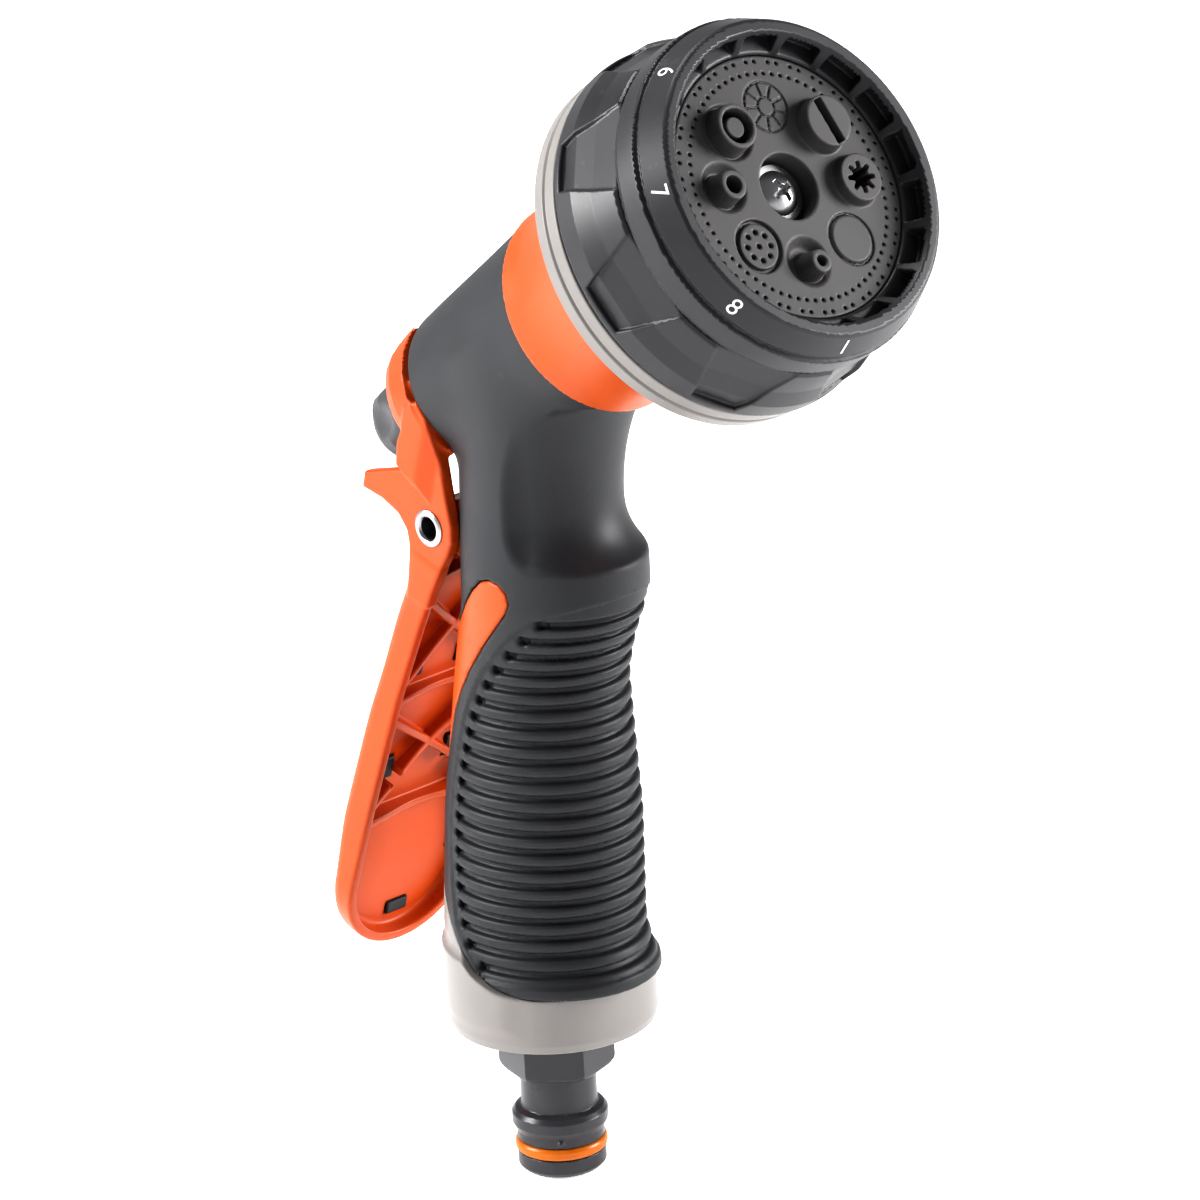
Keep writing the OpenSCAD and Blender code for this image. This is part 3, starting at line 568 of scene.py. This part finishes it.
# Outlines of the dial's two rings as (radius, distance along the head)
GRIP_RING = [(27.4, 59.3), (31.9, 59.3), (32.7, 60.1), (32.7, 64.4), (31.5, 68.2), (30.7, 73.2), (30.2, 73.7),
             (24.7, 73.7), (24.7, 71.6), (27.4, 71.6)]
PRINT_LOW, PRINT_HIGH = (29.8, 80.0), (27.9, 84.2)     # ends of the rim's cone, which bears the numerals
RIM_RING = [(23.1, 73.8), (30.2, 73.8), (30.2, 74.3), (30.45, 74.7), (30.3, 78.9), (29.5, 79.2), (29.4, 79.6),
            PRINT_LOW, PRINT_HIGH, (27.4, 84.6), (25.7, 84.6), (23.1, FACE)]
WINDOW_STEP, WINDOW_FIRST, WINDOW_HALF = 20, 8.2, 3.35


def grip_ring_field(x, y, z):
    """The ring that is gripped to turn the dial, with a pocket between each two sprays."""
    field = outline(np.hypot(x, y), z, GRIP_RING)
    u, v = folded(x, y, STATION_A + SPRAY_STEP / 2, SPRAY_STEP)
    shape = outline(v, z, [(-4.3, 61.3), (4.3, 61.3), (8.2, 74.5), (-8.2, 74.5)])
    floor = np.interp(z, [61, 64.4, 68.2, 73.7], [31.5, 31.5, 30.4, 29.3])
    return smax(field, -smax(shape, floor - u, 0.35), 0.45)


def rim_ring_field(x, y, z):
    """The rim round the spray face, with its row of windows."""
    radial = np.hypot(x, y)
    field = outline(radial, z, RIM_RING)
    v = folded(x, y, WINDOW_FIRST, WINDOW_STEP)[1]
    window = smax(np.abs(v) - WINDOW_HALF, slab(z, 80.75, 83.5), 0.3)
    window = smax(window, radial - 26.6, 0.3)
    return smax(field, -window, 0.3)


def at_station(x, y, i):
    """Coordinates outward and across at the middle of spray i."""
    u, v = at_angle(x, y, STATION_A + SPRAY_STEP * i)
    return u - STATION_R, v


def cone(radial, h, foot, top, low, high):
    """A round boss from radius foot at height low to radius top at high."""
    radius = foot + (top - foot) * np.clip((h - low) / (high - low), 0, 1)
    return smax(radial - radius, slab(h, low, high), 0.3)


def spray_face_field(x, y, z):
    """The spray face with its eight sprays; h is the height above the face."""
    h = z - FACE
    radial = np.hypot(x, y)
    plate = smax(radial - 23.0, slab(h, -2.4, 0), 0.3)
    skirt = np.maximum(slab(radial, 21.4, 23.0), slab(h, -6, -1))
    hub = smax(slab(radial, 3.7, 7.2), slab(h, -6, -0.4), 0.2)
    field = smin(np.minimum(plate, skirt), hub, 0.2)
    holes = np.full(x.shape, 1e3)

    def bored(radius, distance, depth=-8.0):
        return np.maximum(distance - radius, depth - h)

    # Jet bosses in round dishes
    for i, foot, top, tall, hole in ((0, 2.7, 2.0, 2.7, 0.95), (6, 3.1, 2.5, 3.1, 1.55)):
        u, v = at_station(x, y, i)
        dish_r = np.hypot(u + (0.4 if i else 0.9), v + 0.6)
        dish = smax(dish_r - 4.35 - h * 0.9, -1.6 - h, 0.5)
        field = smax(field, -dish, 0.35)
        field = smin(field, cone(np.hypot(u, v), h, foot, top, -2.0, tall), 0.5)
        holes = np.minimum(holes, bored(hole, np.hypot(u, v)))
    # A blank disc with a fine groove round it
    u, v = at_station(x, y, 1)
    away = np.hypot(u, v)
    field = smin(field, cone(away, h, 4.2, 4.1, -1, 0.25), 0.15)
    field = smax(field, -np.maximum(np.abs(away - 4.45) - 0.2, -0.3 - h), 0.2)
    # Boss with a toothed hole
    u, v = at_station(x, y, 2)
    away = np.hypot(u, v)
    field = smin(field, cone(away, h, 4.5, 4.2, -1, 2.2), 0.4)
    tooth = np.cos(8 * np.arctan2(v, u))
    holes = np.minimum(holes, bored(0, away - 2.25 - 0.55 * np.clip(tooth * 1.6, -1, 1)))
    # Boss with a slot across it
    u, v = at_station(x, y, 3)
    away = np.hypot(u, v)
    field = smin(field, cone(away, h, 4.9, 4.5, -1, 3.1), 0.4)
    su, sv = at_angle(u, v, 64)
    holes = np.minimum(holes, np.maximum(smax(np.abs(sv) - 0.85, np.abs(su) - 4.1, 0.2), -8 - h))
    # Flush wheel: a rim, a hub circle and nine spokes
    u, v = at_station(x, y, 4)
    away = np.hypot(u, v)
    wv = folded(u, v, 10, 40)[1]
    lines = np.minimum(np.abs(away - 4.4), np.abs(away - 1.7))
    lines = np.minimum(lines, np.where((away > 1.7) & (away < 4.4), np.abs(wv), 9))
    field = smax(field, -np.maximum(lines - 0.16, -0.25 - h), 0.15)
    # Cone nozzle: a deep cup with a core in its middle
    u, v = at_station(x, y, CONE_SPRAY)
    away = np.hypot(u, v)
    dish = smax(np.hypot(u + 0.3, v + 0.3) - 4.9 - h * 0.6, -0.9 - h, 0.4)
    field = smax(field, -dish, 0.3)
    field = smin(field, cone(away, h, 4.4, 3.9, -2, 3.3), 0.5)
    holes = np.minimum(holes, bored(3.05, away))
    # Rose of nine holes in a ringed disc
    u, v = at_station(x, y, 7)
    away = np.hypot(u, v)
    field = smax(field, -np.maximum(np.abs(away - 4.3) - 0.35, -0.7 - h), 0.25)
    ru, rv = folded(u, v, 0, 45)
    rose = np.minimum(np.hypot(ru - 2.45, rv), away) - 0.45
    holes = np.minimum(holes, np.maximum(rose, -8 - h))
    # Fine holes of the shower and the ring of pairs outside them
    fu, fv = folded(x, y, 0, 5)
    holes = np.minimum(holes, np.maximum(np.hypot(fu - 19.9, fv) - 0.3, -1.6 - h))
    pu, pv = folded(x, y, 3, 12)
    holes = np.minimum(holes, np.maximum(np.hypot(pu - 22.0, np.abs(pv) - 0.88) - 0.3, -1.6 - h))
    recess = np.maximum(radial - 5.8, -4.2 - h)
    field = smax(field, -recess, 0.35)
    return smax(field, -holes, 0.18)


def cone_core_field(x, y, z):
    """The core in the middle of the cone nozzle."""
    u, v = at_station(x, y, CONE_SPRAY)
    away = np.hypot(u, v)
    h = z - FACE
    stem = cone(away, h, 2.1, 1.85, -6, 2.6)
    web = np.maximum(slab(away, 1.5, 3.3), slab(h, -6, -4.8))
    return smin(stem, web, 0.3)


SCREW_Z = 77.0                         # under the screw's head


def screw_field(x, y, z):
    """Pan-headed screw with a cross recess."""
    h = z - SCREW_Z
    radial = np.hypot(x, y)
    dome = np.sqrt(radial ** 2 + (h + 3.6) ** 2) - 5.5
    head = smax(smax(dome, radial - 4.1, 0.4), -h, 0.15)
    shank = np.maximum(radial - 1.75, slab(h, -11, 0.2))
    u, v = at_angle(x, y, 20)
    arms = np.minimum(np.maximum(np.abs(u) - 2.3 + (1.9 - h) * 0.5, np.abs(v) - 0.42),
                      np.maximum(np.abs(v) - 2.3 + (1.9 - h) * 0.5, np.abs(u) - 0.42))
    recess = np.maximum(np.minimum(arms, radial - 0.95 + (1.9 - h) * 0.3), 0.35 - h)
    return smax(np.minimum(head, shank), -recess, 0.15)


# ---------------------------------------------------------------- materials
def set_range(node, low, high, out_low, out_high):
    """Sets a map range node to carry low to high over to out_low to out_high."""
    for socket, number in zip(("From Min", "From Max", "To Min", "To Max"), (low, high, out_low, out_high)):
        node.inputs[socket].default_value = number


def material(name, colour, rough, metal=0.0, grain=0.25, grain_size=0.25, vary=0.05, shine=0.5, wear=0.12):
    """A moulded or metal surface: uneven colour and gloss, a fine grain, and paler worn edges."""
    made = bpy.data.materials.new(name)
    made.use_nodes = True
    nodes, links = made.node_tree.nodes, made.node_tree.links
    shader = nodes["Principled BSDF"]
    where = nodes.new("ShaderNodeTexCoord").outputs["Object"]

    def noise(size_mm, detail):
        node = nodes.new("ShaderNodeTexNoise")
        node.inputs["Scale"].default_value = 1 / (size_mm * MM)
        node.inputs["Detail"].default_value = detail
        links.new(where, node.inputs["Vector"])
        return node.outputs["Fac"]

    def spread(value, low, high, out_low, out_high):
        node = nodes.new("ShaderNodeMapRange")
        set_range(node, low, high, out_low, out_high)
        links.new(value, node.inputs["Value"])
        return node.outputs["Result"]

    def mixed(factor, first, second):
        node = nodes.new("ShaderNodeMix")
        node.data_type = "RGBA"
        links.new(factor, node.inputs["Factor"])
        for index, value in ((6, first), (7, second)):
            if isinstance(value, bpy.types.NodeSocket):
                links.new(value, node.inputs[index])
            else:
                node.inputs[index].default_value = (*value, 1)
        return node.outputs[2]

    broad, fine = noise(14, 3), noise(grain_size, 2)
    dark = [c * (1 - vary) for c in colour]
    light = [min(1, c * (1 + vary)) for c in colour]
    base = mixed(spread(broad, 0.35, 0.65, 0, 1), dark, light)
    edges = nodes.new("ShaderNodeNewGeometry").outputs["Pointiness"]
    worn = [min(1, c + 0.12 * (1 - c)) for c in colour]
    base = mixed(spread(edges, 0.52, 0.6, 0, wear), base, worn)
    links.new(base, shader.inputs["Base Color"])
    links.new(spread(broad, 0.3, 0.7, max(0.02, rough - 0.05), rough + 0.05), shader.inputs["Roughness"])
    shader.inputs["Metallic"].default_value = metal
    shader.inputs["Specular IOR Level"].default_value = shine
    bump = nodes.new("ShaderNodeBump")
    bump.inputs["Strength"].default_value = grain
    bump.inputs["Distance"].default_value = 0.02 * MM
    links.new(fine, bump.inputs["Height"])
    links.new(bump.outputs["Normal"], shader.inputs["Normal"])
    return made


FINISH = {
    "orange_plastic": material("orange_plastic", (0.44, 0.072, 0.005), 0.42, grain=0.12, shine=0.35),
    "soft_grip": material("soft_grip", (0.024, 0.025, 0.028), 0.5,
                          grain=0.8, grain_size=0.35, vary=0.1, shine=0.34, wear=0.05),
    "light_plastic": material("light_plastic", (0.23, 0.216, 0.207), 0.4, grain=0.12, vary=0.03, shine=0.4),
    "plug_plastic": material("plug_plastic", (0.038, 0.038, 0.043), 0.32, grain=0.15, shine=0.4),
    "orange_rubber": material("orange_rubber", (0.5, 0.13, 0.004), 0.3, grain=0.1, shine=0.35),
    "seal_rubber": material("seal_rubber", (0.02, 0.02, 0.02), 0.5),
    "ivory_plastic": material("ivory_plastic", (0.62, 0.56, 0.45), 0.4),
    "steel": material("steel", (0.42, 0.42, 0.43), 0.3, metal=1, grain=0.1),
    "knob_plastic": material("knob_plastic", (0.045, 0.045, 0.05), 0.42, grain=0.4),
    "brass": material("brass", (0.78, 0.56, 0.24), 0.25, metal=1),
    "dial_plastic": material("dial_plastic", (0.032, 0.032, 0.035), 0.42,
                             grain=0.45, grain_size=0.3, shine=0.4, wear=0.08),
    "face_plastic": material("face_plastic", (0.078, 0.075, 0.076), 0.5,
                             grain=0.4, grain_size=0.3, vary=0.03, shine=0.35),
}
WHITE_PRINT = material("white_print", (0.8, 0.8, 0.8), 0.4, grain=0.1, vary=0.02, wear=0.0)
ORANGE_LEVER = material("orange_lever", (0.49, 0.07, 0.007), 0.38, grain=0.12, shine=0.35)


def finish_piece(made, look, body, nodes=()):
    """Gives a piece its material and its body, and hides the CAD nodes it stands for."""
    made.data.materials.append(look)
    if nodes:
        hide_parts(*nodes)
    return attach(made, body)


# ---------------------------------------------------------------- pieces
def box_round(node, margin=1.0):
    """A CAD node's box in millimetres, grown by a margin, as its low and high corners."""
    low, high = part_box(node)
    return np.array(low) / MM - margin, np.array(high) / MM + margin


def around(radius, bottom, top):
    """The low and high corners of a box round a place's z axis."""
    return (-radius, -radius, bottom), (radius, radius, top)


def fielded(name, field, box, cell, place, look, body, nodes):
    """A piece meshed from a field inside a box, in cells of a size in millimetres."""
    return finish_piece(surface(name, field, *box, cell, place), look, body, nodes)


fielded("sleeve", sleeve_field, box_round("grip_sleeve"), 0.53, WORLD,
        FINISH["soft_grip"], "body", ["grip_sleeve"])
fielded("core", core_field, box_round("body_core"), 0.6, WORLD,
        FINISH["orange_plastic"], "body", ["body_core"])
fielded("foot_collar", collar_field, ((-21, -20, 27), (21, 20, 60)), 0.4, WORLD,
        FINISH["light_plastic"], "body", ["base_collar"])
fielded("plug", plug_field, around(11, 0, PLUG_TOP), 0.3, WORLD,
        FINISH["plug_plastic"], "body", ["hose_plug"])
RING_SKIN = [(6.8, 3.6), (8, 3.6), (8.38, 4.2), (8.38, 5.2), (8, 5.8), (6.8, 5.8)]
finish_piece(lathe("plug_ring", RING_SKIN, 0.6, WORLD, 96), FINISH["orange_rubber"], "body", ["plug_o_ring"])
COLLAR_SKIN = [(15, 52.6), (31, 52.6), (32, 53.2), (32.2, 55.6), (31.6, 56.1), (32.2, 56.6), (32.2, 59),
               (15, 59)]
finish_piece(lathe("back_collar_skin", COLLAR_SKIN, 0.35, HEAD),
             FINISH["light_plastic"], "body", ["back_collar"])

fielded("lever", lever_field, ((-18, -16.5, -94), (9, 16.5, 28)), 0.42, LEVER,
        ORANGE_LEVER, "trigger", ["trigger_lever"])
fielded("lever_pad", pad_field, ((-9, -15, -93), (0, 15, -18)), 0.4, LEVER,
        FINISH["soft_grip"], "trigger", ["trigger_pad"])
PIN_SKIN = [(2.0, -12.3), (2.3, -12.75), (2.9, -12.78), (3.6, -12.4), (2.9, -12.2), (2.9, 12.2), (3.6, 12.4),
            (2.9, 12.78), (2.3, 12.75), (2.0, 12.3)]
finish_piece(lathe("rivet", PIN_SKIN, 0.25, PIN, 96), FINISH["steel"], "trigger", ["pivot_pin"])
fielded("knob", knob_field, around(9.5, -38.5, -22), 0.25, HEAD,
        FINISH["knob_plastic"], "knob", ["flow_knob"])

fielded("dial_grip", grip_ring_field, around(33, 59, 74), 0.38, HEAD,
        FINISH["dial_plastic"], "dial", ["grip_ring"])
fielded("dial_rim", rim_ring_field, around(31, 73.5, 85), 0.4, HEAD,
        FINISH["dial_plastic"], "dial", ["rim_ring"])
fielded("face", spray_face_field, around(23.5, 73.5, 84.6), 0.29, HEAD,
        FINISH["face_plastic"], "dial", ["spray_face", "jet_insert", "mist_insert", "centre_rose"])
cone_x, cone_y = at_angle(STATION_R, 0, -(STATION_A + SPRAY_STEP * CONE_SPRAY))
fielded("cone_nozzle_core", cone_core_field,
        ((cone_x - 4, cone_y - 4, 74), (cone_x + 4, cone_y + 4, 83.5)), 0.2, HEAD,
        FINISH["face_plastic"], "dial", ["cone_core"])
fielded("screw", screw_field, around(4.5, 65, 79.2), 0.12, HEAD,
        FINISH["steel"], "body", ["centre_screw"])

# White numerals, one for each spray, printed round the front cone of the rim
PRINT_SIZE, PRINT_Z, PRINT_PROUD = 3.3 * 1.35, 82.15, 0.08


def numeral(number, degrees):
    """A number laid on the rim's cone at an angle, a hair proud of it."""
    curve = bpy.data.curves.new("numeral", "FONT")
    curve.body = str(number)
    curve.align_x, curve.align_y = "CENTER", "CENTER"
    curve.size = PRINT_SIZE
    curve.resolution_u = 6
    flat = bpy.data.objects.new("numeral", curve)
    bpy.context.scene.collection.objects.link(flat)
    bpy.context.view_layer.update()
    mesh = bpy.data.meshes.new_from_object(flat.evaluated_get(bpy.context.evaluated_depsgraph_get()))
    bpy.data.objects.remove(flat)
    slant = np.array(PRINT_HIGH) - np.array(PRINT_LOW)
    slant = slant / np.linalg.norm(slant)
    spots = []
    for vertex in mesh.vertices:
        u, v = vertex.co.x, vertex.co.y
        h = PRINT_Z + v * slant[1]
        r = np.interp(h, [PRINT_LOW[1], PRINT_HIGH[1]], [PRINT_LOW[0], PRINT_HIGH[0]]) + PRINT_PROUD
        angle = math.radians(degrees) + u / r
        spots.append((r * math.cos(angle), r * math.sin(angle), h))
    faces = [tuple(face.vertices) for face in mesh.polygons]
    bpy.data.meshes.remove(mesh)
    made = mesh_object(f"numeral_{number}", from_place(np.array(spots), HEAD) * MM, faces)
    finish_piece(made, WHITE_PRINT, "dial")


for i in range(8):
    numeral(i + 1, STATION_A + SPRAY_STEP * i)

# The CAD nodes that stay, seen only inside or through gaps, take their slot's finish
slot_of = {part["node"]: part["material_slot"] for part in frame["record"]["subparts"]}
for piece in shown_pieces():
    if piece.name in slot_of:
        piece.data.materials.clear()
        piece.data.materials.append(FINISH[slot_of[piece.name]])

# ---------------------------------------------------------------- floor, light, camera
FLOOR_WHITE = material("floor_white", (0.93, 0.93, 0.93), 0.9, grain=0.02, vary=0.01, wear=0.0)
floor_shader = FLOOR_WHITE.node_tree.nodes["Principled BSDF"]
floor_shader.inputs["Emission Color"].default_value = (1, 1, 1, 1)
floor_shader.inputs["Emission Strength"].default_value = 0.45
FLOOR_HALF, FLOOR_DROP = 6, 0.0002     # in metres; the drop keeps it clear of the plug's end
floor_signs = [(-1, -1), (1, -1), (1, 1), (-1, 1)]
floor_corners = [(x * FLOOR_HALF, y * FLOOR_HALF, -FLOOR_DROP) for x, y in floor_signs]
floor = mesh_object("floor", floor_corners, [(0, 1, 2, 3)])
floor.data.materials.append(FLOOR_WHITE)

world = bpy.data.worlds.new("studio")
bpy.context.scene.world = world
world.use_nodes = True
background = world.node_tree.nodes["Background"]
background.inputs["Color"].default_value = (1, 1, 1, 1)
# Bright at the horizon, so that the floor runs on into it, and dim overhead
heading = world.node_tree.nodes.new("ShaderNodeTexCoord").outputs["Generated"]
split = world.node_tree.nodes.new("ShaderNodeSeparateXYZ")
dimmer = world.node_tree.nodes.new("ShaderNodeMapRange")
set_range(dimmer, 0.1, 0.2, 1.0, 0.2)
world.node_tree.links.new(heading, split.inputs["Vector"])
world.node_tree.links.new(split.outputs["Z"], dimmer.inputs["Value"])
world.node_tree.links.new(dimmer.outputs["Result"], background.inputs["Strength"])
bpy.context.scene.view_settings.view_transform = "Standard"
bpy.context.scene.view_settings.look = "High Contrast"

AIM = Vector((0.015, 0, 0.105))        # about the middle of the object; every softbox faces it


def softbox(name, where, size, watts):
    """A square area light, in metres."""
    lamp = bpy.data.lights.new(name, "AREA")
    lamp.shape, lamp.size, lamp.energy = "SQUARE", size, watts
    made = bpy.data.objects.new(name, lamp)
    bpy.context.scene.collection.objects.link(made)
    made.location = where
    made.rotation_euler = (AIM - Vector(where)).to_track_quat("-Z", "Y").to_euler()


softbox("key", (-0.5, -0.62, 0.5), size=0.35, watts=9.5)
softbox("side", (0.55, 0.6, 0.3), size=0.35, watts=7)
softbox("top", (-0.25, 0.1, 0.95), size=0.3, watts=4)

LENS_MM, SENSOR_MM = 195, 36
EYE = Vector((0.7932, -0.7248, 0.4872))
AZIMUTH, ELEVATION, ROLL = math.radians(46.93), math.radians(19.48), math.radians(-3.12)
camera = bpy.data.objects.new("camera", bpy.data.cameras.new("camera"))
bpy.context.scene.collection.objects.link(camera)
bpy.context.scene.camera = camera
camera.data.lens, camera.data.sensor_width = LENS_MM, SENSOR_MM
camera.data.clip_end = 20
flat = math.cos(ELEVATION)
back = Vector((math.sin(AZIMUTH) * flat, -math.cos(AZIMUTH) * flat, math.sin(ELEVATION)))
level = Vector((math.cos(AZIMUTH), math.sin(AZIMUTH), 0))
rise = back.cross(level)
right = math.cos(ROLL) * level + math.sin(ROLL) * rise
up = math.cos(ROLL) * rise - math.sin(ROLL) * level
turned = Matrix((right, up, back)).transposed().to_4x4()
camera.matrix_world = Matrix.Translation(EYE) @ turned
